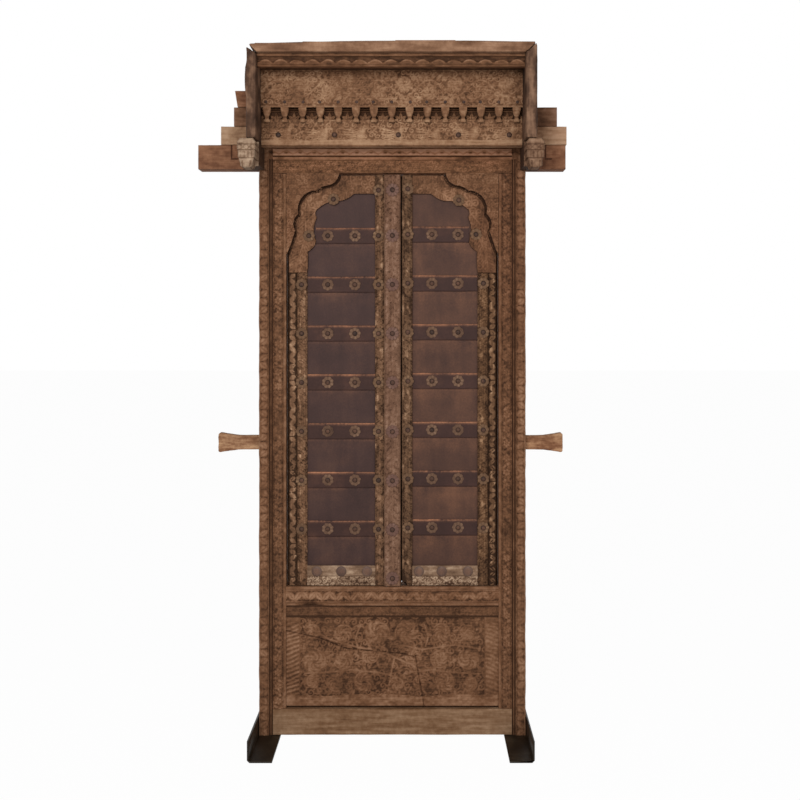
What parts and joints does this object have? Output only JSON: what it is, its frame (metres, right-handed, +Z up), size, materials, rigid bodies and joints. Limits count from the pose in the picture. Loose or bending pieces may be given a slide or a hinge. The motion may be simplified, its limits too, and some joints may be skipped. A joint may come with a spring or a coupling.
{
  "type": "carved window frame with leaves",
  "caption": "Carved wooden courtyard-house window on steel feet: box hood with pendants, long lintel, cusped arch and an iron-clad pair of leaves that open inwards.",
  "frame": {"origin": "on the floor under the middle of the whole piece, in the plane of the jambs' front faces", "axes": "+Z up, +X to the right seen from outside, -Y towards the outside, +Y into the room where the leaves open"},
  "size_m": [1.113, 0.47, 2.0483],
  "materials": {
    "carved_wood": "weathered, dry, carved",
    "head_wood": "weathered, orange brown",
    "beam_wood": "smooth, worn",
    "finial_wood": "bleached grey beige",
    "leaf_wood": "worn, traces of pale paint",
    "sheet_iron": "dark satin with rust",
    "nail_iron": "rusty, worn",
    "black_steel": "satin black"
  },
  "bodies": {
    "frame": {"bottom_rail": "carved_wood", "foot_screws": "black_steel", "head_rail": "head_wood", "hood_left_board": "carved_wood", "hood_nails": "nail_iron", "hood_right_board": "carved_wood", "hood_scallops": "carved_wood", "hood_soffit": "carved_wood", "hood_top_board": "carved_wood", "left_bracket_arm": "finial_wood", "left_foot": "black_steel", "left_spandrel": "carved_wood", "left_upright": "carved_wood", "left_wall_lug": "beam_wood", "lintel_beam": "beam_wood", "lower_course": "beam_wood", "lower_frieze": "carved_wood", "lower_panel": "carved_wood", "middle_course": "beam_wood", "panel_patch": "carved_wood", "pendants": "carved_wood", "right_bracket_arm": "finial_wood", "right_foot": "black_steel", "right_spandrel": "carved_wood", "right_upright": "carved_wood", "right_wall_lug": "beam_wood", "sill_rail": "carved_wood", "upper_course": "beam_wood", "upper_frieze": "carved_wood"},
    "left_leaf": {"left_arch_piece": "leaf_wood", "left_back_boards": "leaf_wood", "left_hanging_stile": "leaf_wood", "left_iron_sheet": "sheet_iron", "left_leaf_bottom_rail": "leaf_wood", "left_meeting_stile": "leaf_wood", "left_rosettes": "nail_iron", "left_strap_1": "sheet_iron", "left_strap_2": "sheet_iron", "left_strap_3": "sheet_iron", "left_strap_4": "sheet_iron", "left_strap_5": "sheet_iron", "left_strap_6": "sheet_iron", "left_strap_7": "sheet_iron", "batten": "leaf_wood", "batten_rosettes": "nail_iron"},
    "right_leaf": {"right_arch_piece": "leaf_wood", "right_back_boards": "leaf_wood", "right_hanging_stile": "leaf_wood", "right_iron_sheet": "sheet_iron", "right_leaf_bottom_rail": "leaf_wood", "right_meeting_stile": "leaf_wood", "right_rosettes": "nail_iron", "right_strap_1": "sheet_iron", "right_strap_2": "sheet_iron", "right_strap_3": "sheet_iron", "right_strap_4": "sheet_iron", "right_strap_5": "sheet_iron", "right_strap_6": "sheet_iron", "right_strap_7": "sheet_iron"}
  },
  "joints": [
    {"name": "left_leaf_pivot", "type": "hinge", "parent": "frame", "child": "left_leaf", "pos_m": [-0.2675, 0.044, 0.452], "axis": [0, 0, 1], "range_deg": [0, 95]},
    {"name": "right_leaf_pivot", "type": "hinge", "parent": "frame", "child": "right_leaf", "pos_m": [0.3285, 0.044, 0.452], "axis": [0, 0, -1], "range_deg": [0, 95]}
  ]
}
